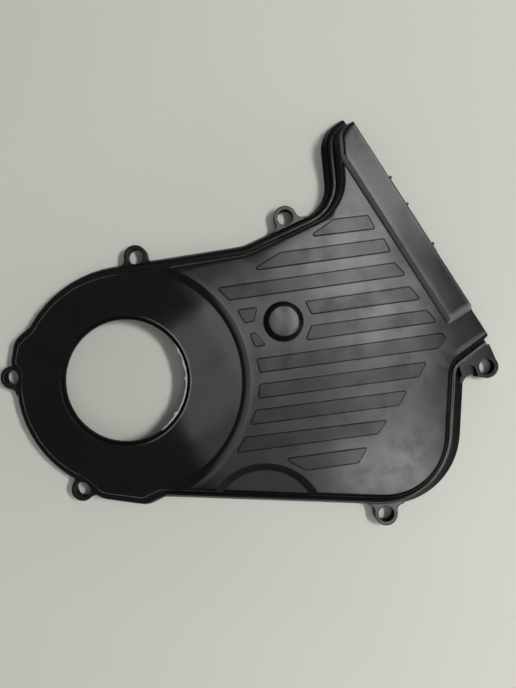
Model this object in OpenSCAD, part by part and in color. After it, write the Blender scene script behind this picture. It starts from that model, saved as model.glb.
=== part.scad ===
// Timing cover: one moulded piece that closes the belt space round a crankshaft nose.
// Millimetres. The engine face is z = 0. Sizes are given from the crank axis, and the
// finished cover is moved so that the middle of its outline's box is the origin.

/* [Levels] */
// height of the bolt ear faces above the engine face
ear_z = 6; // [5:0.5:7]
// height of the narrow ledge that runs round the cover
ledge_z = 8; // [7.5:0.5:9]
// height of the low face round the crank opening
lobe_z = 13; // [12:0.5:14]
// height of the main panel
panel_z = 17; // [16:0.5:18]
// rise of the twelve outlined pads above the main panel
pad_rise = 0.8; // [0.4:0.1:1.2]
// rise of the strip along the joint edge above the main panel
strip_rise = 3; // [2:0.5:4]
// rise of the round boss above the main panel
boss_rise = 7; // [5:0.5:8]

/* [Walls] */
// wall thickness of the moulding
wall = 2.5; // [2:0.1:2.8]
// how far the foot stands out beyond the ledge line
foot_out = 4.4; // [4:0.1:5]
// rounding of the foot's upper edge
foot_r = 2.5; // [2:0.1:3]
// how much further in the walls stand along the right side
far_set = 4.8; // [4:0.1:5]
// width of the ledge
ledge_w = 1.6; // [1.2:0.1:2]
// inward lean of the walls for each millimetre of height
lean = 0.31; // [0.2:0.01:0.36]
// rounding where a wall meets the main panel or the strip
shoulder_r = 2.5; // [1.5:0.1:3]
// rounding where a wall meets the low face
lobe_shoulder_r = 2; // [1.2:0.1:2.4]

/* [Crank opening] */
// diameter of the crank opening
crank_d = 73.2; // [64:0.2:76]
// place of the opening's centre along x from the middle of the low face
crank_x = -1.3; // [-2:0.1:0]
// length of the lip inside the opening, measured down from the low face
lip_len = 4.5; // [4:0.1:6]
// rounding of the top edge of the opening
lip_r = 2.2; // [1:0.1:2.3]
// radius of the ledge line round the crank axis
lobe_r = 66.4; // [65.5:0.1:67]

/* [Steps] */
// radius at the foot of the arc step beside the low face
arc_r = 66.7; // [66:0.1:68]
// arc step centre along x
arc_x = 1.9; // [1:0.1:3]
// arc step centre along y
arc_y = -0.8; // [-2:0.1:0]
// width of the slope of the arc step and of the scoop
step_w = 4.6; // [4:0.1:6]
// radius of the scoop at its floor
scoop_r = 31; // [28:0.5:33]
// scoop centre along x
scoop_x = 82.5; // [80:0.5:85]
// scoop centre along y
scoop_y = -84; // [-86:0.5:-83]

/* [Joint edge] */
// direction of the joint edge's outward normal in degrees
joint_a = 32.65; // [32:0.05:33.5]
// distance of the joint edge from the crank axis
joint_d = 194; // [193:0.5:196]
// width of the raised strip along the joint edge
strip_w = 17; // [14:0.5:19]
// width of the slope at the side and the end of the strip
strip_slope = 2.8; // [2:0.1:3.4]
// position of the lower end of the strip along the joint edge
strip_end = 74; // [68:0.5:78]
// length of the small moulding nubs on the joint edge
nub_len = 1.5; // [0.8:0.1:2]

/* [Boss] */
// boss centre along x
boss_x = 92.9; // [90:0.5:95]
// boss centre along y
boss_y = 35.1; // [33:0.5:37]
// boss diameter at the panel
boss_d = 23.4; // [22:0.1:24]
// boss diameter at the top
boss_top_d = 17.4; // [16:0.1:18.4]

/* [Bolt ears] */
// radius of the round end of an ear
ear_r = 7; // [6.5:0.1:7.5]
// diameter of the bolt holes
bolt_d = 9.5; // [6.5:0.1:10]
// rounding where an ear runs into the foot
ear_blend = 4; // [3:0.5:5]
// thickness of the low web beside the right ear
web_z = 2.5; // [2:0.1:4]

/* [Hidden] */
$fn = 96;
strip_z = panel_z + strip_rise;
arc_step = 6;
// middle of the outline's box, which becomes the origin
centre = [72.7, 35.59];
// middle of the cover, a point that every part of the outline can be seen from
mid = [150, 60];

// corner that carries the ledge line round the crank axis from angle a to angle b
function ring(a, b) = [
  lobe_r / cos((b - a) / 2) * cos((a + b) / 2),
  lobe_r / cos((b - a) / 2) * sin((a + b) / 2),
  lobe_r
];
// corner on the tangent of that circle at angle a, s further along, rounded by r
function tangent(a, s, r) = [
  lobe_r * cos(a) - s * sin(a),
  lobe_r * sin(a) + s * cos(a),
  r
];

// corner at angle a round the crank axis, out beyond the ledge line there, rounded by r
function by_lobe(a, out, r) = [(lobe_r + out) * cos(a), (lobe_r + out) * sin(a), r];
// end of the straight run from corner c in direction a, run past the joint edge, where it is cut
function joint_end(c, a, past) = let (
  s = (joint_d + past - c.x * cos(joint_a) - c.y * sin(joint_a)) / cos(a - joint_a)
) [c.x + s * cos(a), c.y + s * sin(a), 0];

// ledge line as corners with their rounding, in three runs
tip_c = [120.5, 149];
right_c = [200.8, 8.2];
heel_c = by_lobe(286.4, 4.6, 8);
floor_c = [196.2, -74.3, 41];
neck_run = [
  joint_end(tip_c, 35, 10.8),
  [tip_c.x, tip_c.y, 14],
  [125.1, 104.2, 24],
  tangent(99, -81.2, 30)
];
lobe_run = [
  ring(99, 150),
  tangent(150, 3, 8),
  by_lobe(161.57, 5.2, 8),
  by_lobe(172.23, 4.4, 7),
  tangent(179, -3.5, 7),
  ring(179, 244),
  tangent(244, 3.5, 10),
  by_lobe(256.63, 5.2, 10),
  by_lobe(277.5, 7.4, 8),
  heel_c
];
// the far side, s further in than the foot's own line
function far_run(s) = let (d = s * unit(xy(floor_c) - xy(heel_c)), f = xy(floor_c) - d, r = right_c - d) [
  [f.x, f.y, floor_c[2]],
  [r.x, r.y, 10],
  joint_end(r, 37.6, 11.6)
];
foot_rim = concat(neck_run, lobe_run, far_run(0));
rim = concat(neck_run, lobe_run, far_run(far_set));
// the same line cut short inside the low face, for the forms that stand higher
heel_end = xy(heel_c) + 2 * unit(xy(floor_c) - xy(heel_c));
high_rim = concat(neck_run, [tangent(99, 0, 0), [heel_end.x, heel_end.y, 0]], far_run(far_set));

// corners of the outlined pads on the main panel
pads = [
  [[107.8, 84.8], [122.4, 95.1], [142.3, 97.4], [146.7, 89.5]],
  [[73.8, 64.9], [90.8, 75.5], [151.7, 83.7], [155.8, 76.1]],
  [[53.9, 54.7], [158.1, 69.6], [164.6, 62.3], [60.9, 47.7]],
  [[105.7, 46.8], [166.9, 55.6], [173.3, 48.2], [109.5, 39.5]],
  [[109.5, 32.7], [176.9, 41.8], [182.7, 34.8], [106, 24.2]],
  [[65.6, 41.8], [77.3, 43.3], [75.6, 35.4], [70.3, 34.2]],
  [[73.2, 27.8], [76.7, 28.3], [82.6, 21.3], [76.1, 20.1]],
  [[77.3, 13.1], [185.6, 28.3], [188.3, 25.4], [183.3, 19.3], [79.1, 5.2]],
  [[79.1, -1.8], [176.9, 11.4], [172.2, 2.6], [78.2, -10]],
  [[76.7, -17], [165.7, -5.3], [160.5, -14.1], [73.2, -25.5]],
  [[70.9, -32.8], [154, -22.6], [148.2, -30.8], [65, -41.9]],
  [[93.7, -45.4], [142.3, -38.7], [137, -47.8], [106, -52.2]]
];

// bolt ears: centre, outward direction, distance from the centre to the foot line
ears = [
  concat(xy(by_lobe(178.8, 5.42, 0)), [180, 2.7]),
  concat(xy(by_lobe(246.76, 6.08, 0)), [232, 3.2]),
  [156, -81.5, 272, 6],
  concat(xy(by_lobe(87.64, 8.77, 0)), [98, 4.7]),
  [94.3, 99, 117, 4.7]
];
right_ear = [217.2, 8.2];
holes = concat([for (e = ears) [e[0], e[1]]], [right_ear]);
// places of the small nubs along the joint edge
nubs = [-16.6, 1.7, 29.3];

function unit(v) = v / norm(v);
function xy(c) = [c.x, c.y];
function angle_of(v) = atan2(v.y, v.x);
function cross2(a, b) = a.x * b.y - a.y * b.x;
function left_of(v) = [-v.y, v.x];
function wrap(c, i) = c[(i + len(c)) % len(c)];
function heading(c, i) = unit(xy(wrap(c, i + 1)) - xy(wrap(c, i)));
function bend(c, i) = let (a = heading(c, i - 1), b = heading(c, i)) atan2(cross2(a, b), a * b);

// points of one corner of line c, moved outward by u
function corner(c, i, u, step) = let (
  t = bend(c, i),
  s = sign(t),
  r = c[i][2],
  back = r * tan(abs(t) / 2),
  h = heading(c, i - 1),
  hub = xy(c[i]) - back * h + s * r * left_of(h),
  a = angle_of(h) - 90 * s,
  n = max(2, ceil(abs(t) / step))
) r == 0
  ? [xy(c[i]) - u / cos(t / 2) * left_of(unit(h + heading(c, i)))]
  : [for (k = [0:n]) hub + (r + s * u) * [cos(a + t * k / n), sin(a + t * k / n)]];
function outline(c, u, step) = [for (i = [0:len(c) - 1]) each corner(c, i, u, step)];

// solid between outlines of line c, one for each [u, z] of the section, from the bottom up;
// a section point with a third value follows the foot's line instead
module loft(c, section) {
  n = len(outline(c, 0, arc_step));
  m = len(section);
  rings = [
    for (s = section)
      each [for (p = outline(len(s) > 2 ? foot_rim : c, s[0], arc_step)) [p.x, p.y, s[1]]]
  ];
  ends = [[mid.x, mid.y, section[0][1]], [mid.x, mid.y, section[m - 1][1]]];
  sides = [
    for (k = [0:m - 2]) for (i = [0:n - 1]) let (j = (i + 1) % n)
      each [
        [k * n + i, (k + 1) * n + i, (k + 1) * n + j],
        [k * n + i, (k + 1) * n + j, k * n + j]
      ]
  ];
  floor_faces = [for (i = [0:n - 1]) [m * n, i, (i + 1) % n]];
  roof_faces = [for (i = [0:n - 1]) [m * n + 1, (m - 1) * n + (i + 1) % n, (m - 1) * n + i]];
  polyhedron(points = concat(rings, ends), faces = concat(sides, floor_faces, roof_faces));
}

function foot_section() = concat(
  [[foot_out, 0, 1], [foot_out - 0.2, 1, 1]],
  [for (a = [15, 40, 65, 90]) [foot_r * cos(a), ledge_z - foot_r + foot_r * sin(a)]]
);
// wall from the ledge up to a face at height top, with a rounded shoulder
function wall_u(z) = -ledge_w - lean * (z - ledge_z);
function shoulder(top, r) = [
  for (a = [0, 30, 60, 90]) [wall_u(top - r) - r + r * cos(a), top - r + r * sin(a)]
];
// the part of a wall above a lower form whose own wall ends at height z
function upper_wall(z, top) = concat([[wall_u(z), z]], shoulder(top, shoulder_r));
// the hollow under a face at height top
function roof(top, r) = [
  [wall_u(top - r) - wall, top - r - 1],
  [wall_u(top - r) - wall - r + 0.5, top - wall]
];
function low_hollow() = concat(
  [
    [foot_out - wall, -1, 1],
    [foot_out - wall, ledge_z - wall - 4.1, 1],
    [-0.2, ledge_z - wall],
    [wall_u(ledge_z) - wall + 0.7, ledge_z - wall]
  ],
  roof(lobe_z, lobe_shoulder_r)
);
// the part of a hollow above a lower one whose wall ends at height z
function upper_hollow(z, top) = concat([[wall_u(z) - wall, z - 1]], roof(top, shoulder_r));

// where a step's cut begins: just under the lobe's face outside, well down for the hollow
function step_low(g) = g == 0 ? lobe_z - 0.6 : ledge_z - 1 - g;

// space over the low floor of a round step, g wider and lower for the hollow
module step_space(r, g) {
  rotate_extrude()
    polygon([
      [0, step_low(g)],
      [r + g - 0.4, step_low(g)],
      [r + g - 0.4, lobe_z - g - 0.4],
      [r + g + step_w * 0.84, panel_z - g - 0.7],
      [r + g + step_w + 0.4, panel_z - g + 0.4],
      [r + g + step_w + 0.4, 40],
      [0, 40]
    ]);
}

module steps(g) {
  translate([arc_x, arc_y, 0])
    step_space(arc_r, g);
  translate([-120, -120, lobe_z - 0.45 - g])
    cube([146 + g, 240, 45]);
  translate([scoop_x, scoop_y, 0])
    step_space(scoop_r, g);
}

// long wedge of the strip, set back by g for the hollow
module strip_form(g) {
  in_d = joint_d - strip_w + g;
  top = strip_z - g;
  end = strip_end - g;
  intersection() {
    rotate([0, 0, joint_a])
      rotate([90, 0, 0])
        translate([0, 0, -200])
          linear_extrude(height = 400)
            polygon([
              [in_d - 0.4, ledge_z + 1],
              [in_d - 0.4, panel_z - g - 0.4],
              [in_d + strip_slope * 0.8, top - 0.5],
              [in_d + strip_slope, top + 1],
              [joint_d + 30, top + 1],
              [joint_d + 30, ledge_z + 1]
            ]);
    rotate([0, 0, joint_a - 90])
      rotate([90, 0, 0])
        translate([0, 0, -300])
          linear_extrude(height = 600)
            polygon([
              [-300, ledge_z],
              [end + 0.4, ledge_z],
              [end + 0.4, panel_z - g - 0.4],
              [end - strip_slope * 0.8, top - 0.5],
              [end - strip_slope, top + 1],
              [-300, top + 1]
            ]);
  }
}

module outer_form() {
  loft(rim, concat(foot_section(), [[wall_u(ledge_z), ledge_z]], shoulder(lobe_z, lobe_shoulder_r)));
  difference() {
    loft(high_rim, upper_wall(lobe_z - lobe_shoulder_r, panel_z));
    steps(0);
  }
  intersection() {
    loft(high_rim, upper_wall(panel_z - shoulder_r, strip_z));
    strip_form(0);
  }
}

module hollow_form() {
  loft(rim, low_hollow());
  difference() {
    loft(high_rim, upper_hollow(lobe_z - lobe_shoulder_r, panel_z));
    steps(wall);
  }
  intersection() {
    loft(high_rim, upper_hollow(panel_z - shoulder_r, strip_z));
    strip_form(wall);
  }
}

module ear_plan(root) {
  circle(r = ear_r);
  translate([-root - 4, -ear_r])
    square([root + 4, 2 * ear_r]);
  for (s = [0, 1])
    mirror([0, s])
      difference() {
        translate([-root - 3, ear_r - 0.5])
          square([ear_blend + 3, ear_blend + 0.5]);
        translate([-root + ear_blend, ear_r + ear_blend])
          circle(r = ear_blend);
      }
}

module right_ear_plan() {
  difference() {
    polygon([[224.1, 9.4], [218.6, 21.8], [200, 10], [202, 2], [214, 2]]);
    translate([206.8, 4])
      circle(r = 4.8);
  }
  translate(right_ear)
    circle(r = ear_r);
}

// low web in the corner between the right ear and the foot
module right_web_plan() {
  difference() {
    polygon([[202, 9], [214, 9], [214, 2], [202, -3]]);
    translate([212.9, -5.8])
      circle(r = 10);
  }
}

module all_ears() {
  for (e = ears)
    translate([e[0], e[1], 0])
      rotate([0, 0, e[2]])
        linear_extrude(height = ear_z)
          ear_plan(e[3]);
  linear_extrude(height = ear_z)
    right_ear_plan();
  linear_extrude(height = web_z)
    right_web_plan();
}

module boss(g) {
  top = panel_z + boss_rise - g;
  translate([boss_x, boss_y, 0])
    rotate_extrude()
      polygon([
        [0, panel_z - 1 - 1.6 * g],
        [boss_d / 2 + 0.2 - g, panel_z - 1 - 1.6 * g],
        [boss_d / 2 + 0.2 - g, panel_z - g - 0.5],
        [boss_top_d / 2 + 0.7 - g, top - 1.2],
        [boss_top_d / 2 + 0.3 - g, top - 0.4],
        [boss_top_d / 2 - 0.5 - g, top],
        [0, top]
      ]);
}

module pad_panels() {
  translate([0, 0, panel_z - 0.5])
    for (p = pads)
      linear_extrude(height = pad_rise + 0.5)
        polygon(outline([for (c = p) [c.x, c.y, 0.9]], 0, 45));
}

// lip that hangs from the low face round the crank opening
module crank_lip() {
  translate([crank_x, 0, 0])
    rotate_extrude()
      translate([crank_d / 2 - 1, lobe_z - lip_len])
        square([wall + 1, lip_len - 1]);
}

module crank_space() {
  translate([crank_x, 0, 0])
    rotate_extrude() {
      translate([0, -1])
        square([crank_d / 2, 30]);
      difference() {
        translate([crank_d / 2 - 1, lobe_z - lip_r])
          square([lip_r + 1, lip_r + 1]);
        translate([crank_d / 2 + lip_r, lobe_z - lip_r])
          circle(r = lip_r);
      }
    }
}

// everything past the joint edge, moved out by g
module beyond_joint(g) {
  rotate([0, 0, joint_a])
    translate([joint_d + g, -300, -5])
      cube([100, 600, 60]);
}

// thin lip and nubs left by the mould on the joint edge
module joint_marks() {
  rotate([0, 0, joint_a]) {
    translate([joint_d - 1, -34, strip_z - 2])
      cube([1.5, 50, 1.2]);
    for (n = nubs)
      translate([joint_d - 1, -n - 0.8, strip_z - 1.8])
        cube([nub_len + 1, 1.6, 1.2]);
  }
}

cover_tone = [0.12, 0.12, 0.12];

module cover() {
  color(cover_tone)
    translate([-centre.x, -centre.y, 0])
      difference() {
        union() {
          difference() {
            union() {
              difference() {
                outer_form();
                beyond_joint(0);
              }
              boss(0);
              all_ears();
            }
            difference() {
              hollow_form();
              beyond_joint(0.5);
            }
            boss(wall);
          }
          crank_lip();
          pad_panels();
          joint_marks();
        }
        crank_space();
        for (h = holes)
          translate([h.x, h.y, -1])
            cylinder(h = ledge_z + 2, d = bolt_d);
      }
}

cover();
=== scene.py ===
import math
import random

import bpy
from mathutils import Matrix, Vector


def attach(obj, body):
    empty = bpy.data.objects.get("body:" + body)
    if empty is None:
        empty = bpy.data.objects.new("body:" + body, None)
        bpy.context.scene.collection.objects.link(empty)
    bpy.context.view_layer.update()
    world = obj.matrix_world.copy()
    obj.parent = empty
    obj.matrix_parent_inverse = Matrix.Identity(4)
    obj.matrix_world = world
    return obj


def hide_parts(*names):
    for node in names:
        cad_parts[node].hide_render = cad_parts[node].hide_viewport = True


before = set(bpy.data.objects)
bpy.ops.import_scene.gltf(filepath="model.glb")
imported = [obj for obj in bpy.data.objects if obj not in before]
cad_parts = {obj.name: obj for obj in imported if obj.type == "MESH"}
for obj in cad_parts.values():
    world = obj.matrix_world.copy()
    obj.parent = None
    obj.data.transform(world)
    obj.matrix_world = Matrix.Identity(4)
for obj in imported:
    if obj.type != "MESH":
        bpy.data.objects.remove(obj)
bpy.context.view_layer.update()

# Heights and places of the cover's own features, in metres, as the part's source has them.
EAR_FACE = 0.006
LEDGE = 0.008
LOW_FACE = 0.013
PANEL_FACE = 0.017
PAD_FACE = 0.0178
STRIP_FACE = 0.020
BOSS_AXIS = (0.0202, -0.00049)
OPENING_CENTRE = Vector((-0.0740, -0.03559, 0.0))
OPENING_RADIUS = 0.0366
ARC_CENTRE = OPENING_CENTRE + Vector((0.0019, -0.0008, 0.0))
SCOOP_CENTRE = Vector((0.0098, -0.11959, 0.0))
STRIP_TURN = math.radians(32.65)
STRIP_ACROSS = Vector((math.cos(STRIP_TURN), math.sin(STRIP_TURN), 0.0))
STRIP_ALONG = Vector((STRIP_ACROSS.y, -STRIP_ACROSS.x, 0.0))
UPWARD = Vector((0.0, 0.0, 1.0))

# What tells one kind of face from another: runs of height and distance, in metres.
SAME_LEVEL = 0.0002
EAR_LEVEL = 0.0003
STRIP_SLOPE = (0.0172, 0.0199)
STRIP_FROM = 0.094
STEP_RISE = (0.0131, 0.0169)
ARC_STEP = (0.068, 0.079)
SCOOP_STEP = (0.029, 0.037)
RIGHT_SIDE_FROM = 0.07
RIGHT_WALL = (0.00799, 0.0169)
LEDGE_UP_TO = 0.0085
FOOT = (0.0001, 0.012)
OPENING_EDGE = (0.008, 0.01297)
OPENING_EDGE_RADIUS = 0.0392

# How far a face's normal points up, or along the strip's axes.
FLAT = 0.99
NEARLY_FLAT = 0.985
FOOT_LEAN = 0.8
WALL_LEAN = 0.5
SLOPED = 0.3

# The boss from its root to its top: radius and height of each ring.
BOSS_RINGS = ((0.01196, 0.0164), (0.00946, 0.02282), (0.00928, 0.02336), (0.00904, 0.02374),
              (0.0087, 0.02396), (0.0082, 0.02404))
BOSS_POINTS = 96
BOSS_TOP_LEAN = 0.95

# The fin on the crank opening: angles in degrees from the right, the rest in metres.
FLASH_HEIGHT = 0.0120
FLASH_WAVER = 0.0001
FLASH_START, FLASH_END, FLASH_FADE = -54.0, 37.0, 8.0
FLASH_POINTS = 540
FLASH_ROOT = 0.0005
FLASH_REACH = 0.0003
FLASH_TONGUE = 0.0011
POINTS_PER_TONGUE = 5
FLASH_THICKNESS = 0.0002

CAMERA_PLACE = Vector((0.0052, -0.01369, 0.320))
# How far under the table the camera's image in the main panel lies.
MIRRORED_CAMERA = 0.286

# Lamps that only the level faces mirror: name, height, lean from the camera's axis, spread,
# turn in degrees and radiance.
CEILING_LAMPS = (
    ("ceiling_patch", 1.50, (0.22, -0.111), (0.38, 0.65), 32.0, 1.25),
    ("ceiling_dim", 1.51, (0.0, -0.25), (0.15, 0.65), 32.0, 0.72),
    ("ceiling_left", 1.49, (-0.019, 0.005), (0.40, 0.20), 32.0, 0.6),
    ("ceiling_mid", 1.45, (0.10, 0.085), (0.30, 0.20), 20.0, 0.5),
    ("ceiling_corner", 1.47, (-0.06, 0.135), (0.14, 0.07), 32.0, 1.2),
    ("ceiling_band", 1.48, (0.262, -0.05), (0.20, 0.26), 0.0, 1.9),
    ("ceiling_upper", 1.46, (0.165, 0.165), (0.34, 0.16), -48.0, 4.2),
    ("ceiling_lower", 1.44, (0.262, -0.252), (0.18, 0.13), 8.0, 5.6),
    ("ceiling_far", 1.42, (0.225, 0.32), (0.20, 0.26), 20.0, 4.0),
    ("ceiling_right", 1.38, (0.86, -0.34), (0.28, 0.60), 0.0, 5.5),
)
# Four long lamps beyond the table's edges light it low from all round.
WASH_PLACES = ((6.0, 0.0), (0.0, 6.0), (-6.0, 0.0), (0.0, -6.0))
WASH_HEIGHT = 0.80


class Val:
    """One socket of a material's node tree, so that shader maths reads as plain sums."""

    def __init__(self, tree, socket):
        self.tree = tree
        self.socket = socket

    def math(self, operation, first, second):
        return add_node(self.tree, "ShaderNodeMath", {"operation": operation},
                        **{"0": first, "1": second})

    def __add__(self, other):
        return self.math("ADD", self, other)

    __radd__ = __add__

    def __sub__(self, other):
        return self.math("SUBTRACT", self, other)

    def __rsub__(self, other):
        return self.math("SUBTRACT", other, self)

    def __mul__(self, other):
        return self.math("MULTIPLY", self, other)

    __rmul__ = __mul__

    def between(self, low, high):
        """0 below low, 1 above high, with a soft run between them."""
        return add_node(
            self.tree, "ShaderNodeMapRange", {"interpolation_type": "SMOOTHSTEP", "clamp": True},
            Value=self, **{"From Min": low, "From Max": high, "To Min": 0.0, "To Max": 1.0})


def add_node(tree, kind, settings=None, out=0, **inputs):
    """Any node: its settings first, then the values or links of its sockets. A socket that shares
    its name with another is given by number."""
    made = tree.nodes.new(kind)
    for name, value in (settings or {}).items():
        setattr(made, name, value)
    for name, value in inputs.items():
        socket = made.inputs[int(name)] if name.isdigit() else made.inputs[name]
        if isinstance(value, Val):
            tree.links.new(value.socket, socket)
        else:
            socket.default_value = value
    return Val(tree, made.outputs[out])


def noise(place, scale, detail, **more):
    return add_node(place.tree, "ShaderNodeTexNoise", Vector=place, Scale=scale, Detail=detail,
                    **more)


def dot(first, second):
    return add_node(first.tree, "ShaderNodeVectorMath", {"operation": "DOT_PRODUCT"}, "Value",
                    **{"0": first, "1": second})


def blend(factor, start, end):
    """A colour that runs from start to end. A Mix node's colours are sockets 6 and 7, and its
    mixed colour is output 2."""
    return add_node(factor.tree, "ShaderNodeMix", {"data_type": "RGBA"}, 2, Factor=factor,
                    **{"6": start, "7": end})


def new_material(name):
    """An empty material, its node tree and its Object coordinates."""
    made = bpy.data.materials.new(name)
    made.use_nodes = True
    tree = made.node_tree
    tree.nodes.clear()
    return made, tree, add_node(tree, "ShaderNodeTexCoord", None, "Object")


def close_material(tree, shader):
    end = tree.nodes.new("ShaderNodeOutputMaterial")
    tree.links.new(shader.socket, end.inputs["Surface"])


def painted_ring_highlight(centre, runs, start, shade):
    """A painted highlight: a soft pale ring round a centre, in place of light caught by a round.
    It comes in over the first two radii of runs and fades over the last two. It shows from start
    metres right of the centre, with a run of two hundredths."""
    def build(place):
        apart = add_node(place.tree, "ShaderNodeVectorMath", {"operation": "MULTIPLY_ADD"},
                         **{"0": place, "1": (1.0, 1.0, 0.0), "2": (-centre.x, -centre.y, 0.0)})
        away = add_node(place.tree, "ShaderNodeVectorMath", {"operation": "LENGTH"}, "Value",
                        **{"0": apart})
        right = add_node(place.tree, "ShaderNodeSeparateXYZ", None, "X", Vector=apart)
        ring = away.between(*runs[:2]) - away.between(*runs[2:])
        return ring * right.between(start, start + 0.02) * shade
    return build


def painted_band_highlight(axis, runs, shade, start=-1.0):
    """A painted highlight: a soft pale band across an axis, in place of light caught by a round or
    step. It comes in over the first two places of runs and fades over the last two. It shows from
    start metres across the strip, with a run of a hundredth."""
    def build(place):
        along = dot(place, axis)
        across = dot(place, STRIP_ACROSS)
        band = along.between(*runs[:2]) - along.between(*runs[2:])
        return band * across.between(start, start + 0.01) * shade
    return build


def satin_plastic(name, gloss, grain, tone, waves=0.00034, wave_scale=30.0, bend=1.5,
                  painted_edge_shade=0.0, dull=0.0, painted_highlights=()):
    """Black moulded plastic: gloss is its roughness, grain and waves the depths of its relief,
    bend how strongly its skin mirrors, the edge shade how dark its rounded edges are painted, a
    painted shade in place of their dark reflection, dull how far it is dulled all over, beside its
    smudges, and the highlights its pale lines, which are painted highlights laid into its colour."""
    made, tree, place = new_material(name)
    cloud = noise(place, 26.0, 3.0)
    smudge = noise(place, 75.0, 5.0, Roughness=0.62, Distortion=0.2)
    dust = noise(place, 1500.0, 2.0)
    fine = noise(place, 3600.0, 2.0)
    swell = noise(place, wave_scale, 1.0)
    stretched = add_node(tree, "ShaderNodeMapping", Vector=place,
                         Rotation=(0.0, 0.0, 0.5), Scale=(40.0, 900.0, 40.0))
    scuff = noise(stretched, 1.0, 3.0)
    hairline = scuff.between(0.67, 0.74) * cloud.between(0.48, 0.62)
    specks = dust.between(0.74, 0.8) * smudge.between(0.5, 0.62)

    rounded = add_node(tree, "ShaderNodeBevel", {"samples": 6}, Radius=0.0009)
    facing = add_node(tree, "ShaderNodeNewGeometry", None, "Normal")
    turned = 1.0 - dot(rounded, facing)
    worn_edge = turned.between(0.02, 0.3)
    # Painted shade: a thin line along each rounded edge, mixed to the dark diffuse below, in place
    # of the dark reflection of the rounds.
    painted_edge_line = turned.between(0.002, 0.08)

    lift = cloud.between(0.3, 0.7) * 0.3 + hairline * 0.5 + specks * 1.6 + worn_edge * 0.5
    colour = blend(lift, (tone * 0.95, tone * 1.05, tone * 1.03, 1.0),
                   (tone * 2.6, tone * 2.6, tone * 2.55, 1.0))
    # Painted highlights: pale bands mixed into the base colour by position, in place of light on
    # rounds and steps; they do not move with the lamps.
    for painted_highlight in painted_highlights:
        colour = blend(painted_highlight(place), colour, (0.5, 0.5, 0.49, 1.0))
    rough = (gloss + (smudge - 0.5) * 0.13 + (cloud - 0.5) * 0.06 + hairline * 0.06
             - worn_edge * 0.02)
    broad = add_node(tree, "ShaderNodeBump", Strength=1.0, Distance=waves, Height=swell,
                     Normal=rounded)
    relief = add_node(tree, "ShaderNodeBump", Strength=1.0, Distance=grain, Height=fine,
                      Normal=broad)
    skin = add_node(tree, "ShaderNodeBsdfPrincipled", Roughness=rough, Normal=relief, IOR=bend,
                    **{"Base Color": colour})

    sunk = add_node(tree, "ShaderNodeBsdfDiffuse", Color=(tone, tone, tone, 1.0))
    smeared = smudge.between(0.40, 0.70) * cloud.between(0.34, 0.62) * 0.26
    # The smudges and the dulling are the plastic's own; the edge line in this mix is painted
    # shade.
    dulled_and_edge_shade = smeared + painted_edge_line * painted_edge_shade + dull
    close_material(tree, add_node(tree, "ShaderNodeMixShader",
                                  **{"0": dulled_and_edge_shade, "1": skin, "2": sunk}))
    return made


def table_top():
    made, tree, place = new_material("pale_table")
    colour = blend(noise(place, 9.0, 3.0), (0.70, 0.695, 0.63, 1.0), (0.73, 0.725, 0.665, 1.0))
    close_material(tree, add_node(tree, "ShaderNodeBsdfPrincipled", Roughness=0.6,
                                  **{"Base Color": colour}))
    return made


# Painted highlight: a pale band along the panel's shoulder by the right ear, in place of the light
# line it catches.
PAINTED_SHOULDER_HIGHLIGHT = painted_band_highlight(STRIP_ALONG, (0.0785, 0.0812, 0.0830, 0.0840), 0.17, 0.088)

# The finishes of the moulding, in the order of its material slots. Their pale bands are painted
# highlights, and the dark edge lines of the pads and panel are painted shade.
COVER_FINISHES = {
    "satin_moulding": dict(gloss=0.17, grain=0.000003, tone=0.0042, painted_highlights=(PAINTED_SHOULDER_HIGHLIGHT,)),
    "matte_pad": dict(gloss=0.19, grain=0.000004, tone=0.005, painted_edge_shade=0.75, dull=0.24),
    "ear_face": dict(gloss=0.22, grain=0.000004, tone=0.007),
    # Painted highlight: the slope's upper half is paled, in place of the light on its rounded
    # shoulder.
    "step_slope": dict(gloss=0.40, grain=0.000005, tone=0.006, bend=1.3, painted_highlights=(
        painted_band_highlight(STRIP_ACROSS, (0.0961, 0.0983, 0.1000, 0.1100), 0.21),)),
    "foot_side": dict(gloss=0.30, grain=0.000004, tone=0.003, bend=1.1),
    # Painted highlight: a thin pale ring at the crank opening's edge, on its right half.
    "low_face": dict(gloss=0.085, grain=0.000003, tone=0.004, waves=0.0002, painted_highlights=(
        painted_ring_highlight(OPENING_CENTRE, (0.0390, 0.0392, 0.0394, 0.0400), 0.005, 0.28),)),
    # Painted highlight: the arc step's right part is paled, in place of the light it catches.
    "arc_step": dict(gloss=0.34, grain=0.000005, tone=0.007, bend=1.16, painted_highlights=(
        painted_ring_highlight(ARC_CENTRE, (0.0692, 0.0718, 0.0725, 0.0740), 0.044, 0.15),)),
    # Painted highlights: a pale band along the panel's edge by the arc step, and the shoulder
    # band.
    "panel_face": dict(gloss=0.17, grain=0.000003, tone=0.0042, painted_edge_shade=0.85, painted_highlights=(
        painted_ring_highlight(ARC_CENTRE, (0.0700, 0.0708, 0.0722, 0.0765), 0.030, 0.06), PAINTED_SHOULDER_HIGHLIGHT)),
    # Painted highlights: pale bands along both sides of the strip and across its lower end.
    "strip_face": dict(gloss=0.17, grain=0.000003, tone=0.0042, painted_highlights=(
        painted_band_highlight(STRIP_ACROSS, (0.0980, 0.0988, 0.0996, 0.1025), 0.07),
        painted_band_highlight(STRIP_ACROSS, (0.1112, 0.1128, 0.1140, 0.1150), 0.08),
        painted_band_highlight(STRIP_ALONG, (0.0590, 0.0615, 0.0640, 0.0660), 0.22))),
    # Painted highlight: a pale line along the top of the foot on the right side, which is what
    # this finish is for.
    "right_foot": dict(gloss=0.30, grain=0.000004, tone=0.003, bend=1.1, painted_highlights=(
        painted_band_highlight(UPWARD, (0.0059, 0.0070, 0.0080, 0.0090), 0.17),)),
}


def within(value, run):
    return run[0] < value < run[1]


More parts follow.
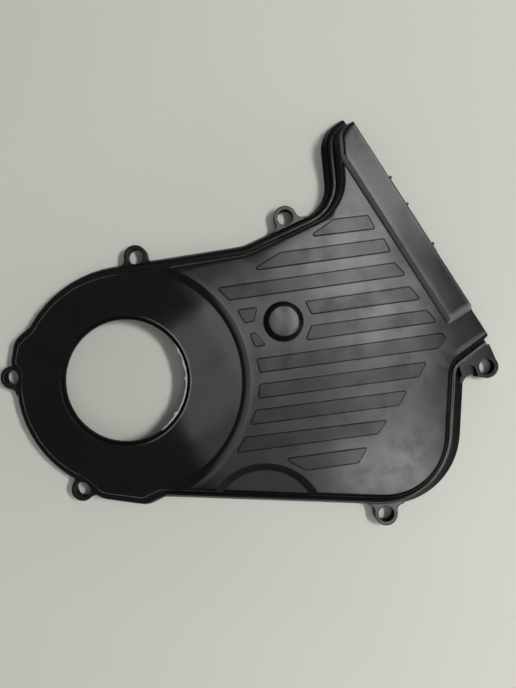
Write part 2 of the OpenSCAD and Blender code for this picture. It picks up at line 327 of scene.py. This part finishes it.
def finish_of(face):
    """The finish of one face of the moulding, told by its height, its lean and its place."""
    level, up = face.center.z, face.normal.z
    flat = up > FLAT
    from_opening = (face.center - OPENING_CENTRE).xy.length
    from_scoop = (face.center - SCOOP_CENTRE).xy.length
    on_strip = face.center.dot(STRIP_ACROSS) > STRIP_FROM
    on_right = face.center.dot(STRIP_ALONG) > RIGHT_SIDE_FROM
    foot = within(level, FOOT) and up < FOOT_LEAN
    if flat and abs(level - PAD_FACE) < SAME_LEVEL:
        return "matte_pad"
    if flat and abs(level - EAR_FACE) < EAR_LEVEL:
        return "ear_face"
    if within(level, STRIP_SLOPE) and face.normal.dot(STRIP_ACROSS) < -SLOPED:
        return "step_slope"
    if flat and abs(level - STRIP_FACE) < SAME_LEVEL:
        return "strip_face"
    if within(level, STRIP_SLOPE) and on_strip and face.normal.dot(STRIP_ALONG) > SLOPED:
        return "strip_face"
    if within(level, STEP_RISE) and (within(from_opening, ARC_STEP)
                                     or within(from_scoop, SCOOP_STEP)):
        return "arc_step"
    if on_right and within(level, RIGHT_WALL) and (up < NEARLY_FLAT or level < LEDGE_UP_TO):
        return "foot_side"
    if foot:
        return "right_foot" if on_right else "foot_side"
    if level > LEDGE and up < WALL_LEAN:
        return "foot_side"
    if within(level, OPENING_EDGE) and from_opening < OPENING_EDGE_RADIUS:
        return "foot_side"
    if flat and abs(level - LOW_FACE) < SAME_LEVEL:
        return "low_face"
    if flat and abs(level - PANEL_FACE) < SAME_LEVEL:
        return "panel_face"
    return "satin_moulding"


def only(piece):
    bpy.ops.object.select_all(action="DESELECT")
    piece.select_set(True)
    bpy.context.view_layer.objects.active = piece


def moulded_cover():
    """The solid's own form, merged, with its rounds shaded smooth and a finish for each kind of
    face."""
    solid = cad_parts["cover"]
    piece = bpy.data.objects.new("cover_moulding", solid.data.copy())
    bpy.context.scene.collection.objects.link(piece)
    only(piece)
    piece.data.materials.clear()
    bpy.ops.mesh.customdata_custom_splitnormals_clear()
    bpy.ops.object.mode_set(mode="EDIT")
    bpy.ops.mesh.select_all(action="SELECT")
    bpy.ops.mesh.remove_doubles(threshold=0.00001)
    bpy.ops.object.mode_set(mode="OBJECT")
    bpy.ops.object.shade_smooth_by_angle(angle=math.radians(34))
    bpy.ops.object.modifier_add(type="WEIGHTED_NORMAL")
    weigh = piece.modifiers[-1]
    weigh.weight = 100
    weigh.keep_sharp = True
    bpy.ops.object.modifier_apply(modifier=weigh.name)
    for name, look in COVER_FINISHES.items():
        piece.data.materials.append(satin_plastic(name, **look))
    slots = list(COVER_FINISHES)
    for face in piece.data.polygons:
        face.material_index = slots.index(finish_of(face))
    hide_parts("cover")
    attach(piece, "root")


def circle(name, points, radius, place):
    """A bare ring of edges to shape a piece from."""
    bpy.ops.object.select_all(action="DESELECT")
    bpy.ops.mesh.primitive_circle_add(vertices=points, radius=radius, location=place)
    piece = bpy.context.object
    piece.name = name
    only(piece)
    return piece


def round_boss():
    """The boss turned with a fine, even edge, a hair outside the solid's own."""
    root_radius, root_height = BOSS_RINGS[0]
    piece = circle("boss_round", BOSS_POINTS, root_radius, (*BOSS_AXIS, root_height))
    bpy.ops.object.mode_set(mode="EDIT")
    bpy.ops.mesh.select_all(action="SELECT")
    for (wide, low), (narrow, high) in zip(BOSS_RINGS, BOSS_RINGS[1:]):
        bpy.ops.mesh.extrude_edges_move(TRANSFORM_OT_translate={"value": (0.0, 0.0, high - low)})
        bpy.ops.transform.resize(value=(narrow / wide, narrow / wide, 1.0))
    bpy.ops.mesh.edge_face_add()
    bpy.ops.mesh.select_all(action="SELECT")
    bpy.ops.mesh.normals_make_consistent(inside=False)
    bpy.ops.object.mode_set(mode="OBJECT")
    bpy.ops.object.transform_apply(location=True)
    bpy.ops.object.shade_smooth_by_angle(angle=math.radians(40))
    piece.data.materials.append(satin_plastic("boss_side", 0.2, 0.000003, 0.0042))
    # Painted sheen: the top's lighter tone stands in for the sheen the top shows, beside its
    # waves.
    piece.data.materials.append(satin_plastic("boss_top", 0.25, 0.000004, 0.022, 0.0015, 75.0))
    for face in piece.data.polygons:
        face.material_index = 1 if face.normal.z > BOSS_TOP_LEAN else 0
    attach(piece, "root")


def turn_of(point):
    return math.degrees(math.atan2(point.co.y, point.co.x))


def opening_flash():
    """A thin ragged fin left by the mould on the right and lower edge of the crank opening."""
    piece = circle("opening_flash", FLASH_POINTS, OPENING_RADIUS + FLASH_ROOT, (0, 0, 0))
    bpy.ops.object.mode_set(mode="EDIT")
    bpy.ops.mesh.select_mode(type="VERT")
    bpy.ops.mesh.select_all(action="DESELECT")
    bpy.ops.object.mode_set(mode="OBJECT")
    for point in piece.data.vertices:
        point.select = not FLASH_START < turn_of(point) < FLASH_END
    bpy.ops.object.mode_set(mode="EDIT")
    bpy.ops.mesh.delete(type="VERT")
    bpy.ops.mesh.select_all(action="SELECT")
    bpy.ops.mesh.extrude_edges_move()
    bpy.ops.object.mode_set(mode="OBJECT")
    chance = random.Random(7)
    for count, point in enumerate(piece.data.vertices):
        if count % POINTS_PER_TONGUE == 0:
            tongue = FLASH_TONGUE * chance.random() ** 2
        if point.select:
            reach = FLASH_REACH + tongue + FLASH_REACH * chance.random()
            turn = turn_of(point)
            fade = min(1.0, (turn - FLASH_START) / FLASH_FADE, (FLASH_END - turn) / FLASH_FADE)
            point.co *= (OPENING_RADIUS - reach * max(0.1, fade)) / point.co.length
        height = FLASH_HEIGHT + chance.uniform(-FLASH_WAVER, FLASH_WAVER)
        point.co += OPENING_CENTRE + Vector((0.0, 0.0, height))
    bpy.ops.object.modifier_add(type="SOLIDIFY")
    skin = piece.modifiers[-1]
    skin.thickness = FLASH_THICKNESS
    bpy.ops.object.modifier_apply(modifier=skin.name)
    # Painted glint: the fin's pale tone stands in for the light its thin edge catches.
    piece.data.materials.append(satin_plastic("flash_edge", 0.35, 0.000005, 0.38))
    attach(piece, "root")


def camera_over_the_table():
    view = bpy.data.cameras.new("photo_view")
    view.lens = 27.0
    view.sensor_width = 36.0
    view.clip_start = 0.01
    made = bpy.data.objects.new("photo_view", view)
    bpy.context.scene.collection.objects.link(made)
    made.location = CAMERA_PLACE
    bpy.context.scene.camera = made


def table():
    bpy.ops.object.select_all(action="DESELECT")
    bpy.ops.mesh.primitive_plane_add(size=6.0, location=(0.0, 0.0, -0.0001))
    made = bpy.context.object
    made.name = "table"
    bpy.ops.object.transform_apply(location=True)
    made.data.materials.append(table_top())


def soft_lamp(name, where, size, radiance, turn=0.0, aim=None, mirrored=True, lights=True):
    """A flat lamp of the given size in metres, which faces down, turned in degrees, or towards
    aim. Glossy faces show it only if it is mirrored, and it lights the rest only if it lights."""
    lamp = bpy.data.lights.new(name, "AREA")
    lamp.shape = "RECTANGLE"
    lamp.size, lamp.size_y = size
    lamp.energy = radiance * math.pi * size[0] * size[1]
    made = bpy.data.objects.new(name, lamp)
    bpy.context.scene.collection.objects.link(made)
    made.location = where
    if aim is None:
        made.rotation_euler = (0.0, 0.0, math.radians(turn))
    else:
        made.rotation_mode = "QUATERNION"
        made.rotation_quaternion = (Vector(aim) - Vector(where)).to_track_quat("-Z", "Y")
    made.visible_camera = False
    made.visible_glossy = mirrored
    made.visible_diffuse = lights


def ceiling_lamp(name, height, lean, spread, turn, radiance):
    """A lamp placed where level faces mirror it at the given lean from the camera's axis."""
    reach = height + MIRRORED_CAMERA
    where = (CAMERA_PLACE.x + lean[0] * reach, CAMERA_PLACE.y + lean[1] * reach, height)
    soft_lamp(name, where, (spread[0] * reach, spread[1] * reach), radiance, turn, lights=False)


def room_light():
    for lamp in CEILING_LAMPS:
        ceiling_lamp(*lamp)
    middle = (0.0, 0.0, 0.0)
    soft_lamp("side_window", (1.18, 0.20, 1.45), (0.6, 0.20), 56.0, aim=middle, mirrored=False)
    soft_lamp("side_glow", (1.30, -0.90, 0.70), (1.4, 0.16), 10.0, aim=middle, lights=False)
    soft_lamp("room_wash", (0.15, -0.45, 0.5), (0.6, 0.4), 0.65, mirrored=False)
    for side, (x, y) in enumerate(WASH_PLACES):
        soft_lamp("low_wash_%d" % side, (x, y, WASH_HEIGHT), (11.0, 1.2), 4.0,
                  aim=(0.0, 0.0, WASH_HEIGHT), mirrored=False)
    world = bpy.context.scene.world or bpy.data.worlds.new("room")
    bpy.context.scene.world = world
    world.use_nodes = True
    back = world.node_tree.nodes["Background"]
    back.inputs["Color"].default_value = (0.98, 0.99, 1.0, 1.0)
    back.inputs["Strength"].default_value = 0.11
    bpy.context.scene.view_settings.view_transform = "Standard"


camera_over_the_table()
table()
room_light()
moulded_cover()
round_boss()
opening_flash()
